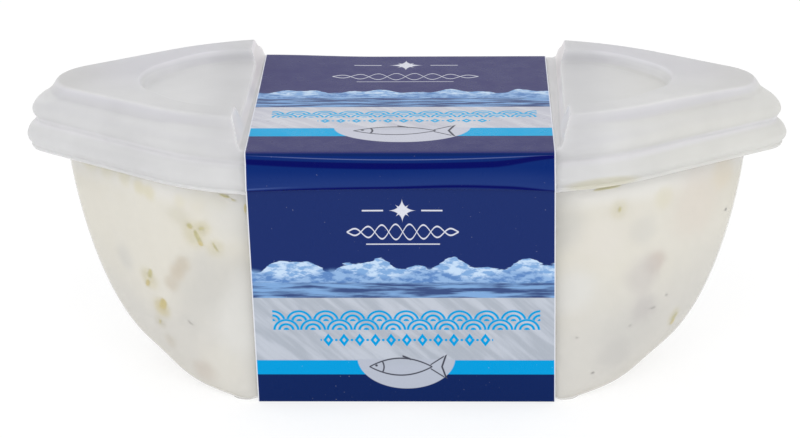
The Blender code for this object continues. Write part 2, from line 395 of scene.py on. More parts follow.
# Patches seen just behind the surface: x, y, z in mm, radius in mm, strength, colour
PATCHES = (
    (-50.0, -17.0, 27.0, 11.0, 0.75, SAUCE),
    (-36.0, -25.0, 24.0, 9.5, 0.80, GREY),
    # Pale patches beside the card are painted light that lifts the shade there
    (-31.0, -28.8, 40.0, 7.0, 0.60, screen_colour(226, 226, 223)),
    (-31.0, -25.0, 16.0, 8.0, 0.85, PAINTED_LIGHT_BY_CARD),
    (-29.5, -26.5, 24.0, 5.0, 0.70, PAINTED_LIGHT_BY_CARD),
    (-36.0, -21.5, 7.0, 6.0, 0.45, SAUCE),
    (-55.2, -12.7, 26.3, 3.2, 0.60, GREY),
    (-41.8, -21.4, 15.9, 2.6, 0.45, GREY),
    (-39.8, -19.8, 5.4, 3.2, 0.60, screen_colour(202, 188, 172)),
    (-46.5, -16.5, 10.0, 2.2, 0.60, screen_colour(198, 188, 168)),
    (-62.0, -8.5, 45.0, 2.6, 0.45, YELLOW),
    (-58.5, -12.5, 44.6, 2.6, 0.45, YELLOW),
    (-54.5, -16.0, 44.2, 2.6, 0.45, YELLOW),
    (-51.2, -19.0, 43.0, 1.8, 0.60, YELLOW),
    (-49.0, -21.0, 42.6, 1.8, 0.60, YELLOW),
    (-42.6, -24.8, 42.2, 1.6, 0.30, YELLOW),
    (-39.0, -26.6, 42.8, 2.4, 0.20, OLIVE),
    (-34.5, -28.2, 43.6, 2.6, 0.20, OLIVE),
    (-43.0, -24.3, 38.6, 2.6, 0.40, screen_colour(204, 198, 168)),
    (-40.0, -25.5, 35.5, 3.0, 0.60, OLIVE),
    (-38.0, -26.5, 37.0, 1.8, 0.60, OLIVE),
    (-35.9, -26.6, 33.2, 2.2, 0.50, OLIVE),
    (-50.0, -17.5, 23.8, 2.6, 0.65, OLIVE),
    (-42.6, -23.3, 28.6, 2.0, 0.75, screen_colour(202, 188, 160)),
    (-43.8, -22.3, 26.6, 2.0, 0.75, screen_colour(202, 186, 156)),
    (-45.2, -21.0, 24.0, 2.0, 0.65, screen_colour(202, 188, 162)),
    (-47.7, -18.0, 17.8, 2.4, 0.75, screen_colour(204, 188, 108)),
    (-48.3, -16.4, 14.0, 1.8, 0.60, screen_colour(196, 188, 160)),
    (31.0, -28.8, 38.0, 5.5, 0.70, screen_colour(205, 203, 195)),
    (38.5, -26.0, 34.5, 6.5, 0.60, screen_colour(236, 231, 221)),
    # Painted light beside the card
    (32.5, -25.7, 24.0, 5.5, 0.85, PAINTED_LIGHT_BY_CARD),
    (44.0, -20.0, 13.0, 8.0, 0.70, GREY),
    (41.3, -20.0, 9.1, 4.5, 0.60, DARK_GREY),
    (46.1, -22.2, 35.0, 3.4, 0.45, GREY),
    (50.4, -19.6, 40.8, 2.6, 0.35, YELLOW),
    (57.0, -13.0, 38.0, 8.0, 0.45, screen_colour(233, 219, 204)),
    (62.0, -8.0, 42.5, 4.0, 0.40, screen_colour(232, 214, 176)),
    (48.9, -19.2, 27.5, 2.9, 0.85, screen_colour(206, 187, 170)),
    (46.5, -20.8, 25.5, 5.0, 0.65, screen_colour(203, 196, 190)),
    (46.3, -19.0, 17.7, 3.6, 0.75, screen_colour(194, 188, 184)),
    (53.4, -10.0, 13.0, 2.4, 0.65, OLIVE),
    (41.5, -25.4, 40.5, 2.2, 0.40, OLIVE),
    (40.0, 24.0, 24.0, 6.0, 0.60, GREY),
    (-46.0, 21.0, 33.0, 5.5, 0.60, PINK),
    (-38.0, 22.0, 14.0, 5.0, 0.60, DARK_GREY),
    (50.0, 19.0, 40.0, 5.5, 0.60, YELLOW),
)
sauce, ink, shader = new_material("yogurt_sauce", {
    "Roughness": 0.45, "Specular IOR Level": 0.3})
place = ink.own_place()
clouds = place.mottle(45.0, 3.0)
curds = place.mottle(420.0, 2.0)
colour = clouds.rise(0.35, 0.75).mixed(SAUCE, THIN_SAUCE)
# Painted shade: the sauce darker towards the bottom, with a ragged edge
drift = (clouds - 0.5) * (14.0 * MM)
colour = (place.part(2) + drift).rise(13.0 * MM, 32.0 * MM, 1.0, 0.0).mixed(colour, LOW_SAUCE_SHADE)
# Painted shade where the wall turns under and the sauce faces downwards
colour = ink.facing(2).rise(-0.8, -0.25, 0.9, 0.0).mixed(colour, SAUCE_UNDERSIDE_SHADE)
colour = (curds.rise(0.52, 0.7) * 0.2).mixed(colour, screen_colour(240, 237, 229))
# Light that falls through the lid's skirt brightens the sauce just below it
skirt_light = place.part(2).rise(40.0 * MM, 44.0 * MM, 0.0, 0.75)
colour = skirt_light.mixed(colour, screen_colour(248, 247, 244))
ragged = place.mottle(170.0, 3.0) - 0.5
for x, y, z, radius, strength, tint in PATCHES:
    away = place.node("VectorMath", {"operation": "DISTANCE"},
                      {0: place, 1: (x * MM, y * MM, z * MM)}, "Value")
    away = away / (radius * MM) + ragged * 0.9
    colour = away.rise(0.35, 1.25, strength, 0.0).mixed(colour, tint)
coat(shader, Base_Color=colour, Normal=(curds + clouds * 2.0).relief(0.0003, 0.35))
new_piece("sauce_filling", filling_form, sauce, "filling")

# Bits in the sauce: herb strands, gherkin and dark fish skin that lie against the wall.
# Each is a thin uneven flake, half sunk in the sauce and bent to the wall's form.

random.seed(41)
FLAKE_POINTS = 18
FLAKE_RISE = 0.09            # how far a flake stands out of the sauce
FLAKE_EDGE = 0.05            # how far its rim, and its flat bottom, lie in the sauce
FLAKE_BOTTOM = 0.35
# Share of the flake's size, and depth below the tub's outside, from its rim to its middle
FLAKE_LAYERS = (
    (1.0, FILL_DEPTH + FLAKE_EDGE),
    (0.72, FILL_DEPTH - FLAKE_RISE),
    (0.35, FILL_DEPTH - FLAKE_RISE * 1.35),
)
BACK_X = (31.0, 50.0)        # where bits lie on the back, to the left or the right of the card
BACK_HEIGHT = (12.0, 44.0)
TIP_CLEARANCE = 12.0         # a bit closer to the tub's tip than this is drawn in towards the card
DRAWN_IN = 0.72


def wall_point(x, height, depth, side):
    """A point in the wall: side is -1 on the front and 1 on the back."""
    outline = hull_outline(height, depth)
    return Vector((x, side * half_depth(outline, min(abs(x), outline[0])), height))


def add_flake(form, x, height, side, length, width, angle, bend):
    """One flake, its edge sunk in the sauce. The angle is its turn from level, in degrees."""
    turn = math.radians(angle)
    wobble = [random.uniform(0.72, 1.2) for _ in range(FLAKE_POINTS)]
    layers = []
    for share, depth in FLAKE_LAYERS:
        layer = []
        for i in range(FLAKE_POINTS):
            spin = 2.0 * math.pi * i / FLAKE_POINTS
            smooth = (wobble[i] + wobble[i - 1] + wobble[(i + 1) % FLAKE_POINTS]) / 3.0
            along = math.cos(spin) * length / 2.0 * smooth * share
            across = math.sin(spin) * width / 2.0 * smooth * share
            across += bend * (2.0 * along / length) ** 2
            u = along * math.cos(turn) - across * math.sin(turn)
            v = along * math.sin(turn) + across * math.cos(turn)
            layer.append((x + u, height + v, depth))
        layers.append(layer)
    bottom = [(px, pz, FILL_DEPTH + FLAKE_BOTTOM) for px, pz, _ in layers[1]]
    rows = []
    for layer in [bottom] + layers:
        rows.append([form.verts.new(wall_point(px, pz, depth, side)) for px, pz, depth in layer])
    for low, high in zip(rows, rows[1:]):
        for i in range(FLAKE_POINTS):
            j = (i + 1) % FLAKE_POINTS
            form.faces.new((low[i], low[j], high[j], high[i]))
    form.faces.new(rows[0])
    form.faces.new(rows[-1])


# x, height, side, length, width, angle, bend
HERBS = (
    (-39.4, 35.1, -1, 3.2, 1.1, -62.0, 0.2),
    (-40.8, 37.1, -1, 1.5, 1.3, -30.0, 0.0),
    (-38.4, 36.9, -1, 1.4, 0.8, 10.0, 0.0),
    (-35.9, 33.3, -1, 2.4, 0.5, -60.0, 0.1),
    (-49.7, 24.8, -1, 2.4, 1.0, 78.0, 0.0),
    (-48.3, 14.2, -1, 1.4, 0.5, 75.0, 0.0),
    (-33.5, 44.3, -1, 2.6, 0.7, -12.0, 0.0),
    (-31.9, 43.6, -1, 1.2, 0.4, -25.0, 0.1),
    (39.0, 45.2, -1, 5.6, 0.7, 2.0, -0.1),
    (41.5, 40.4, -1, 1.3, 0.7, 80.0, 0.0),
    (53.2, 12.8, -1, 2.2, 0.8, 55.0, 0.0),
)
GHERKINS = (
    (-38.8, 33.8, -1, 1.7, 1.0, -60.0, 0.1),
    (-40.7, 36.9, -1, 0.9, 0.8, 0.0, 0.0),
    (-50.3, 22.6, -1, 1.8, 1.0, 72.0, 0.1),
    (-47.3, 18.6, -1, 2.9, 1.7, 76.0, 0.1),
    (-29.6, 42.0, -1, 2.0, 0.6, 88.0, 0.0),
    (52.8, 11.4, -1, 1.6, 0.8, 60.0, 0.0),
)
SKINS = (
    (36.8, 5.4, -1, 0.9, 0.6, 20.0, 0.0),
    (48.5, 17.4, -1, 1.3, 0.4, 10.0, 0.1),
    (44.0, 14.7, -1, 0.8, 0.5, 30.0, 0.0),
    (51.3, 19.4, -1, 0.8, 0.5, 0.0, 0.0),
    (-41.8, 15.9, -1, 1.6, 0.4, -40.0, 0.1),
    (63.2, 33.8, -1, 0.9, 0.6, 80.0, 0.0),
    (33.6, 13.8, -1, 0.7, 0.4, 15.0, 0.0),
)


def scattered(count, longest):
    """Bits on the back, which the photograph doesn't show, clear of the tub's tips."""
    places = []
    for _ in range(count):
        x = random.choice((-1, 1)) * random.uniform(*BACK_X)
        height = random.uniform(*BACK_HEIGHT)
        if abs(x) > hull_outline(height)[0] - TIP_CLEARANCE:
            x *= DRAWN_IN
        length = random.uniform(0.45, 1.0) * longest
        places.append((x, height, 1, length, random.uniform(0.5, 0.9),
                       random.uniform(0.0, 180.0), random.uniform(-0.4, 0.4)))
    return places


# Name, bits seen in the photograph, how many more on the back and their greatest length,
# finish, fineness of the grain, darker and lighter colour
BITS = (
    ("herb", HERBS, 12, 4.0, {"Roughness": 0.5, "Specular IOR Level": 0.3}, 900.0,
     screen_colour(180, 170, 40), screen_colour(196, 186, 88)),
    ("gherkin", GHERKINS, 9, 3.0, {"Roughness": 0.4, "Specular IOR Level": 0.3}, 700.0,
     screen_colour(198, 176, 0), screen_colour(204, 184, 40)),
    ("fish_skin", SKINS, 6, 2.4, {"Roughness": 0.35}, 800.0,
     screen_colour(128, 124, 116), screen_colour(160, 154, 144)),
)
for name, places, count, longest, finish, fineness, dark, light in BITS:
    material, ink, shader = new_material(name, finish)
    grain = ink.own_place().mottle(fineness)
    coat(shader, Base_Color=grain.rise(0.35, 0.65).mixed(dark, light))
    form = bmesh.new()
    for flake in [*places, *scattered(count, longest)]:
        add_flake(form, *flake)
    new_piece(name + "_bits", form, material, "filling")

# Tub: thin moulded polypropylene, milky enough to soften what lies behind it. The wall
# runs up from a flat base into a flange that the lid is pressed over.

TUB_WALL = 0.9
TUB_RINGS = 44
TUB_INSIDE_RINGS = 26
FLANGE = (73.0, 31.9, 5.8, 38.0, 38.0)
FLANGE_UNDERSIDE = 47.2
FLANGE_TOP = 50.4


def eased(corners, plane, steps=4):
    """Ease each inner corner of a row. A corner's last value is the run that it takes."""
    a, b = plane
    rows = [list(corners[0][:-1])]
    for before, corner, after in zip(corners, corners[1:], corners[2:]):
        point = corner[:-1]
        ends = []
        for other in (before, after):
            run = math.hypot(other[a] - corner[a], other[b] - corner[b])
            share = min(corner[-1] / max(run, 1e-6), 0.49)
            ends.append(mix_all(point, other[:-1], share))
        for i in range(steps + 1):
            t = i / steps
            rows.append(mix_all(mix_all(ends[0], point, t), mix_all(point, ends[1], t), t))
    rows.append(list(corners[-1][:-1]))
    return rows


tub_outside = hull_rings(0.0, TUB_FLOOR, TUB_SIDE_TOP, TUB_RINGS)
tub_inside = hull_rings(TUB_WALL, TUB_FLOOR + TUB_WALL, TUB_SIDE_TOP, TUB_INSIDE_RINGS)
rim_inside = shrunk(TUB_TOP, TUB_WALL)
# Outline, height and ease of each corner of the rim
rim_corners = (
    (*TUB_TOP, TUB_SIDE_TOP, 0.0),
    (*TUB_TOP, FLANGE_UNDERSIDE, 0.1),
    (*FLANGE, FLANGE_UNDERSIDE, 0.4),
    (*FLANGE, FLANGE_TOP, 0.4),
    (*rim_inside, FLANGE_TOP, 0.7),
    (*rim_inside, TUB_SIDE_TOP, 0.0),
)
rim = [level_ring(tub_loop(row[:5]), row[5]) for row in eased(rim_corners, (0, 5))]
tub_form = bmesh.new()
skin(tub_form, tub_outside[:-1] + rim + tub_inside[:-1][::-1])
tub_plastic, ink, shader = new_material("milky_tub_plastic", {
    "Specular IOR Level": 0.18, "IOR": 1.49})
place = ink.own_place()
flow = place.times((1.0, 1.0, 0.35)).mottle(60.0, 2.0)
fine = place.mottle(1600.0, 2.0)
coat(shader,
     Base_Color=flow.rise(0.3, 0.7).mixed(screen_colour(229, 228, 226), screen_colour(233, 232, 230)),
     Roughness=flow.rise(0.3, 0.7, 0.3, 0.38),
     Alpha=flow.rise(0.25, 0.75, 0.32, 0.38),
     Normal=(fine * 0.2 + flow).relief(0.0002, 0.12))
new_piece("tub_shell", tub_form, tub_plastic, "tub")

# Lid: the same plastic, painted a little greyer where only air lies behind it, with painted light
# and shade on its faces. Two beads grip the rim. Each end has a raised border round a recess,
# and the sleeve lies in the channel.

LID_TWIST = -0.0002          # lift in mm per square millimetre of x times y
LID_DROOP = 0.4              # how far the right tip hangs down
DROOP_RUN = (48.0, 74.0)     # places along X, and heights, between which the droop grows
DROOP_HEIGHTS = (46.5, 50.5)
CHANNEL_FLOOR = 53.75
CHANNEL_EDGE = 30.15
RIDGE_SLOPE = 3.1            # rise over run from the channel up to the lid's ends
RIDGE_FOOT_EASE = 0.9
RIDGE_TOP_EASE = 0.5
CARD_EDGE = 29.1
CARD_SLIP = 0.475            # the card lies this far to the left in mid-depth, twice at the back
CARD_HALF_DEPTH = 33.8
STRIP_LIFT = 0.8             # the channel's floor stands higher beside the card than under it
STRIP_EDGE = 0.05            # half the width of the step up to it
STRIP_HEIGHTS = (51.8, 52.6)    # rings below these heights take no part in the step
STRIP_REACH = 33.2           # how far the strip runs to the back, where it meets the card's fold
STRIP_RIM_HEIGHTS = (53.2, 53.6)    # the rings at the lid's rim, by height and half depth
STRIP_RIM_DEPTHS = (29.0, 32.3)
STRIP_END = (30.3, 32.0)     # the reach fades out between these places along X
RECESS_FLOOR = 57.1
BORDER_TOP = 59.8
LID_WALL = 0.8
UNDER_CHANNEL = CHANNEL_FLOOR - LID_WALL
UNDER_RECESS = RECESS_FLOOR - LID_WALL
UNDER_BORDER = BORDER_TOP - LID_WALL
# Outline, height at the ends, height under the sleeve, ease of the corner
LID_OUTSIDE = (
    (74.2, 33.2, 6.8, 38.0, 40.0, 46.05, 46.1, 0.1),
    (74.4, 33.3, 6.9, 38.0, 40.0, 46.45, 46.5, 0.12),
    (74.3, 32.95, 6.8, 38.0, 40.0, 46.85, 46.8, 0.3),
    (75.35, 33.6, 7.6, 38.0, 40.0, 48.2, 48.2, 3.0),
    (74.7, 33.2, 7.2, 38.0, 40.0, 50.3, 50.3, 3.0),
    (72.9, 32.35, 6.3, 38.0, 40.0, 51.7, 51.7, 0.5),
    (74.3, 32.95, 7.1, 38.0, 40.0, 53.6, 53.45, 3.0),
    (72.9, 32.5, 7.3, 38.0, 41.0, 55.8, CHANNEL_FLOOR, 3.0),
    (70.6, 31.5, 8.0, 37.5, 44.0, 57.2, CHANNEL_FLOOR, 3.0),
    (69.9, 30.4, 9.0, 37.0, 47.0, 57.8, CHANNEL_FLOOR, 0.6),
    (69.0, 29.6, 10.0, 36.0, 50.0, 59.3, CHANNEL_FLOOR, 3.0),
    (68.4, 29.1, 9.8, 36.0, 50.0, BORDER_TOP, CHANNEL_FLOOR, 1.0),
    (52.7, 20.3, 15.3, 50.0, 18.0, BORDER_TOP, CHANNEL_FLOOR, 0.6),
    (52.1, 19.7, 14.7, 50.0, 17.5, 59.2, CHANNEL_FLOOR, 3.0),
    (51.6, 19.2, 14.2, 50.0, 17.0, RECESS_FLOOR, CHANNEL_FLOOR, 0.9),
    (48.0, 16.0, 11.5, 50.0, 14.0, RECESS_FLOOR, CHANNEL_FLOOR, 1.0),
    (40.0, 9.0, 5.0, 50.0, 8.0, RECESS_FLOOR - 0.1, CHANNEL_FLOOR, 0.0),
)
LID_INSIDE = (
    (40.0, 9.0, 5.0, 50.0, 8.0, UNDER_RECESS - 0.1, UNDER_CHANNEL, 0.0),
    (52.4, 20.0, 15.0, 50.0, 17.8, UNDER_RECESS, UNDER_CHANNEL, 0.9),
    (53.1, 20.7, 15.7, 50.0, 18.5, UNDER_BORDER, UNDER_CHANNEL, 0.6),
    (67.3, 28.1, 9.0, 36.0, 50.0, UNDER_BORDER, UNDER_CHANNEL, 0.8),
    (69.2, 29.6, 8.6, 37.0, 47.0, 57.1, UNDER_CHANNEL, 1.0),
    (72.2, 31.5, 6.9, 38.0, 41.0, 55.0, 52.7, 2.0),
    (72.1, 31.6, 5.8, 38.0, 40.0, 51.8, 51.8, 0.5),
    (74.0, 32.5, 6.6, 38.0, 40.0, 49.4, 49.4, 2.0),
    (73.5, 32.4, 6.3, 38.0, 40.0, 46.05, 46.1, 0.3),
)
# Places along X that all the rings share: under the card, at its edge, up the ridge
LID_NEAR = [i * 2.75 for i in range(11)] + [28.5, 29.05, CARD_EDGE, 29.15, 29.25, 29.5, 29.8]
LID_NEAR += [CHANNEL_EDGE + i * 0.2 for i in range(15)] + [33.1, 33.5, 34.1, 35.0]
LID_TIP_POINTS = 40


def softer(first, second, round_off):
    """The lower of two heights, rounded off where they meet."""
    near = max(round_off - abs(first - second), 0.0) / round_off
    return min(first, second) - near * near * round_off / 4.0


def leaned(x, y):
    """A place along X near the card, moved so that the rings follow the card's slanting edge."""
    card_edge = CARD_EDGE - math.copysign(CARD_SLIP * (1.0 + y / CARD_HALF_DEPTH), x)
    if abs(x) < CARD_EDGE:
        return x * (card_edge / CARD_EDGE)
    if abs(x) < CHANNEL_EDGE:
        share = (abs(x) - CARD_EDGE) / (CHANNEL_EDGE - CARD_EDGE)
        return math.copysign(mix(card_edge, CHANNEL_EDGE, share), x)
    return x


def lid_ring(row, foot):
    """One ring of the lid. The ridge beside the channel rises from its foot along X."""
    outline, end_height, channel_height = row[:5], row[5], row[6]
    near = LID_NEAR[-1]
    far = [near + (row[0] - near) * math.sin(math.pi / 2 * i / LID_TIP_POINTS)
           for i in range(1, LID_TIP_POINTS)]
    profile = [(x, half_depth(outline, x)) for x in LID_NEAR + far] + [(row[0], 0.0)]
    at_rim = smooth_share(channel_height, *STRIP_RIM_HEIGHTS)
    at_rim *= smooth_share(row[1], *STRIP_RIM_DEPTHS)
    ring = []
    for x, y in loop_round(profile):
        strip = STRIP_LIFT * smooth_share(abs(x), CARD_EDGE - STRIP_EDGE, CARD_EDGE + STRIP_EDGE)
        strip *= smooth_share(channel_height, *STRIP_HEIGHTS)
        x = leaned(x, y)
        if y > 0.0:
            y = mix(y, STRIP_REACH, at_rim * (1.0 - smooth_share(abs(x), *STRIP_END)))
        climb = -softer(0.0, (foot - abs(x)) * RIDGE_SLOPE, RIDGE_FOOT_EASE)
        height = softer(channel_height + strip + climb, end_height, RIDGE_TOP_EASE)
        droop = LID_DROOP * smooth_share(x, *DROOP_RUN) * smooth_share(height, *DROOP_HEIGHTS)
        height += LID_TWIST * x * y - droop
        ring.append((x, y, height))
    return ring


def below(value, limit, blur):
    """1 where a value lies below a limit, with a soft edge."""
    return value.rise(limit - blur, limit + blur, 1.0, 0.0)


# The ridge's underside lies one wall behind its face, square to the slope
UNDER_EDGE = CHANNEL_EDGE + LID_WALL * (math.hypot(1.0, RIDGE_SLOPE) - 1.0) / RIDGE_SLOPE
lid_rings = [lid_ring(row, UNDER_EDGE) for row in eased(LID_INSIDE, (0, 5))]
lid_rings += [lid_ring(row, CHANNEL_EDGE) for row in eased(LID_OUTSIDE, (0, 5))]
lid_form = bmesh.new()
skin(lid_form, lid_rings)
lid_plastic, ink, shader = new_material("milky_lid_plastic", {
    "Specular IOR Level": 0.2, "IOR": 1.49, "Emission Strength": 1.0,
    "Subsurface Weight": 0.6, "Subsurface Radius": (1.0, 1.0, 1.0), "Subsurface Scale": 0.002})
place = ink.own_place()
flow = place.times((1.0, 1.0, 0.5)).mottle(70.0, 3.0)
fine = place.mottle(1400.0, 2.0)
upward = ink.facing(2)
level = upward.rise(0.35, 0.85)
sideways = abs(ink.facing(0)).rise(0.7, 0.93)
along_x, along_y, height = (place.part(axis) / MM for axis in range(3))
outward = abs(along_x)
colour = flow.rise(0.3, 0.7).mixed(screen_colour(223, 223, 223), screen_colour(229, 229, 229))
# Over the filling the plastic looks neutral. Painted shade greys the back border, with only air below
border_shade = height.rise(58.2, 59.4) * along_y.rise(-16.0, 8.0, 0.1, 1.0)
colour = (border_shade * level).mixed(colour, screen_colour(214, 213, 220))
# Painted shade on the sloping faces below the border
slope_shade = height.rise(54.0, 57.0) * (1.0 - level) * (1.0 - sideways)
colour = (slope_shade * 0.9).mixed(colour, screen_colour(215, 214, 220))
# Painted light on the level faces below the border's top, the recess floor among them
recess_light = height.rise(57.3, 57.9, 1.0, 0.0) * level
colour = recess_light.mixed(colour, screen_colour(229, 229, 230))
# The left end is a little cooler, the right end warmer, and painted shade darkens both tips of the
# border
cool = along_x.rise(-58.0, -24.0, 0.7, 0.0) * height.rise(57.5, 58.5, 1.0, 0.4)
colour = (cool * (1.0 - recess_light)).mixed(colour, screen_colour(216, 216, 218))
warm = along_x.rise(32.0, 56.0) * height.rise(57.5, 58.5, 0.6, 0.2)
colour = warm.mixed(colour, screen_colour(222, 221, 214))
# Painted shade on the border's tips
tip = outward.rise(54.0, 68.0) * height.rise(58.5, 59.2) * level
colour = (tip * 0.7).mixed(colour, screen_colour(208, 207, 205))
# The border's rounded edges and the recess's wall catch the light
edge = height.rise(58.7, 59.2) * upward.rise(0.82, 0.98, 1.0, 0.0)
edge = edge * along_y.rise(-14.0, 10.0, 0.12, 0.6)
colour = edge.mixed(colour, screen_colour(236, 235, 240))
across_recess = (along_x / 58.0) ** 2.0 + (along_y / 25.5) ** 2.0
wall = height.rise(57.2, 57.7) * height.rise(58.6, 59.2, 1.0, 0.0)
wall = wall * below(across_recess, 1.02, 0.05) * outward.rise(36.0, 50.0)
colour = (wall * 0.55).mixed(colour, screen_colour(246, 246, 248))
# So does the groove above the upper bead. Beside the card the slope carries painted shade
groove = height.rise(50.6, 51.5) * height.rise(51.9, 52.8, 1.0, 0.0)
colour = (groove * 0.8).mixed(colour, screen_colour(242, 241, 245))
# Painted shade beside the card
shade_beside_card = outward.rise(33.0, 43.0, 0.85, 0.0) * (1.0 - sideways)
shade_beside_card = shade_beside_card * height.rise(50.0, 54.0, 0.3, 1.0)
colour = shade_beside_card.mixed(colour, screen_colour(213, 213, 215))
# Sauce that has crept up behind the skirt shows through it as a yellowish streak
crept = ((along_x - 38.0) / 8.5) ** 2.0 + ((height - 46.9) / 1.9) ** 2.0
crept = below(crept, 0.6, 0.4) * along_y.rise(-5.0, -2.0, 0.6, 0.0)
colour = crept.mixed(colour, screen_colour(210, 205, 178))
# Light that the milky plastic carries comes out again at the ridge's end faces, and a
# little of it in the strip beside the card
glow = sideways * height.rise(53.6, 54.9) * below(outward, 33.0, 0.5)
strip = below(outward, 30.4, 0.3) * height.rise(53.9, 54.2)
glow = glow.most(strip * 0.22)
coat(shader,
     Base_Color=colour,
     Roughness=flow.rise(0.3, 0.7, 0.32, 0.42),
     Alpha=flow.rise(0.25, 0.75, 0.82, 0.88),
     Emission_Color=glow.mixed((0.0, 0.0, 0.0, 1.0), (0.125, 0.108, 0.106, 1.0)),
     Normal=(fine * 0.2 + flow).relief(0.0002, 0.10))
new_piece("lid_shell", lid_form, lid_plastic, "lid")

# Sleeve: a loop of thin white card, printed and lightly varnished outside, cut clean at
# both edges. It is folded round the lid and pressed by the lid's beads below the fold.

CARD = 0.45
SLEEVE_HALF_WIDTH = CARD_EDGE
SLEEVE_TOP = 54.55
SLEEVE_HALF_TOP = CARD_HALF_DEPTH
SLEEVE_HALF_BASE = 23.2
SLEEVE_BACK_SHIFT = -2.0 * CARD_SLIP    # how far the back fold has slipped to the left
SLEEVE_BASE_SHIFT = 0.5      # and the base to the right
SLEEVE_CORNER_LIFT = 0.5     # the back left corner stands on the foot of the lid's ridge
LIFTED_ACROSS = (6.0, 29.0)  # the lift grows to the left, to the back and up between these
LIFTED_DEPTH = (5.0, 33.0)
LIFTED_HEIGHT = (42.0, 54.0)
CARD_COLUMNS = 48
UNPRINTED = [(-500.0, 0.0)] * 4    # far beyond the card's edge, where the print is bare white
# Half depth, height, bow and ease of each corner, from the middle of the top down to the
# middle of the base. The bow is how much higher the corner lies in the middle of the card
CARD_CORNERS = (
    (0.0, SLEEVE_TOP, 0.0, 0.0),
    (11.0, SLEEVE_TOP, 0.0, 0.5),
    (22.0, SLEEVE_TOP, 0.0, 0.5),
    (SLEEVE_HALF_TOP - 1.2, SLEEVE_TOP, 0.0, 0.4),
    (SLEEVE_HALF_TOP + 0.05, SLEEVE_TOP - 0.05, 0.0, 0.4),
    (SLEEVE_HALF_TOP + 0.25, 53.7, -0.5, 0.22),
    (33.6, 52.5, -0.75, 0.7),
    (34.0, 50.6, -0.4, 1.0),
    (34.34, 47.9, 0.4, 0.7),
    (34.2, 47.0, 0.45, 0.15),
    (33.72, 46.8, 0.4, 0.3),
    (SLEEVE_HALF_BASE + 6.75, 30.0, 0.0, 0.5),
    (SLEEVE_HALF_BASE + 3.3, 15.0, 0.0, 0.5),
    (SLEEVE_HALF_BASE, 0.0, 0.0, 0.5),
    (11.0, 0.0, 0.0, 0.5),
    (0.0, 0.0, 0.0, 0.0),
)


def card_profile(u):
    """Half of the card's outer face at a place across it: y and z from top to base."""
    middle = 1.0 - (u / SLEEVE_HALF_WIDTH) ** 2
    return eased([(y, z + bow * middle, ease) for y, z, bow, ease in CARD_CORNERS], (0, 1), 5)


def card_loop(u):
    """The whole outer face at a place across the card, from the top round the front."""
    half = card_profile(u)
    return [(-y, z) for y, z in half] + [(y, z) for y, z in half[-2:0:-1]]


def inward(loop, distance):
    """A loop moved inwards along its own normals."""
    moved = []
    for i, here in enumerate(loop):
        before, after = loop[i - 1], loop[(i + 1) % len(loop)]
        run = Vector((after[0] - before[0], after[1] - before[1])).normalized()
        moved.append((here[0] - run.y * distance, here[1] + run.x * distance))
    return moved


def card_point(u, y, z):
    """Where a point of the card lies, with the card's slip and its lifted corner."""
    slip = SLEEVE_BACK_SHIFT * (0.5 + 0.5 * y / SLEEVE_HALF_TOP)
    slip += SLEEVE_BASE_SHIFT * (1.0 - z / SLEEVE_TOP)
    lift = smooth_share(-u, *LIFTED_ACROSS) * smooth_share(y, *LIFTED_DEPTH)
    lift *= smooth_share(z, *LIFTED_HEIGHT)
    return (u + slip, y, z + SLEEVE_CORNER_LIFT * lift)


# Lengths round the card, from the middle of its top over the front to each point
card_middle = card_loop(0.0)
lengths = [0.0]
for here, after in zip(card_middle, card_middle[1:] + card_middle[:1]):
    lengths.append(lengths[-1] + math.dist(here, after))
sleeve_form = bmesh.new()
card_uv = sleeve_form.loops.layers.uv.new("card")
columns = [SLEEVE_HALF_WIDTH * (2.0 * i / CARD_COLUMNS - 1.0) for i in range(CARD_COLUMNS + 1)]
outer_rows = []
inner_rows = []
for u in columns:
    loop = card_loop(u)
    outer_rows.append([sleeve_form.verts.new(card_point(u, y, z)) for y, z in loop])
    inner_rows.append([sleeve_form.verts.new(card_point(u, y, z)) for y, z in inward(loop, CARD)])


def card_strip(first, second, spots):
    """A band of faces between two rows of the card, each with its place in the print."""
    for j, corners in enumerate(zip(first, first[1:] + first[:1], second[1:] + second[:1], second)):
        face = sleeve_form.faces.new(corners)
        for loop, spot in zip(face.loops, spots[j]):
            loop[card_uv].uv = spot


count = len(card_middle)
unprinted = [UNPRINTED] * count
for i in range(CARD_COLUMNS):
    left, right = columns[i], columns[i + 1]
    printed = []
    for j in range(count):
        low, high = lengths[j], lengths[j + 1]
        if j >= count // 2:
            low, high = low - lengths[-1], high - lengths[-1]
        printed.append(((left, low), (left, high), (right, high), (right, low)))
    card_strip(outer_rows[i], outer_rows[i + 1], printed)
    card_strip(inner_rows[i], inner_rows[i + 1], unprinted)
card_strip(outer_rows[0], inner_rows[0], unprinted)
card_strip(outer_rows[-1], inner_rows[-1], unprinted)

NAVY = screen_colour(8, 40, 111)
NAVY_MIDDLE = screen_colour(29, 47, 106)
NAVY_LOW = screen_colour(12, 36, 92)
# Painted shade in the creases
NAVY_CREASE_SHADE = screen_colour(0, 8, 92)
# The top's inks carry painted sheen, lighter and greyer than the side's, for the varnish's reflection
TOP_NAVY_SHEEN = screen_colour(57, 57, 108)
CYAN = screen_colour(0, 156, 219)
# Painted sheen on the top's cyan
TOP_CYAN_SHEEN = screen_colour(0, 168, 222)
SILVER = screen_colour(192, 198, 209)
SILVER_DARK = screen_colour(173, 180, 191)
# Painted sheen on the top's silver
TOP_SILVER_SHEEN = screen_colour(208, 209, 217)
TOP_SILVER_DARK_SHEEN = screen_colour(194, 195, 206)
BADGE = screen_colour(182, 188, 202)
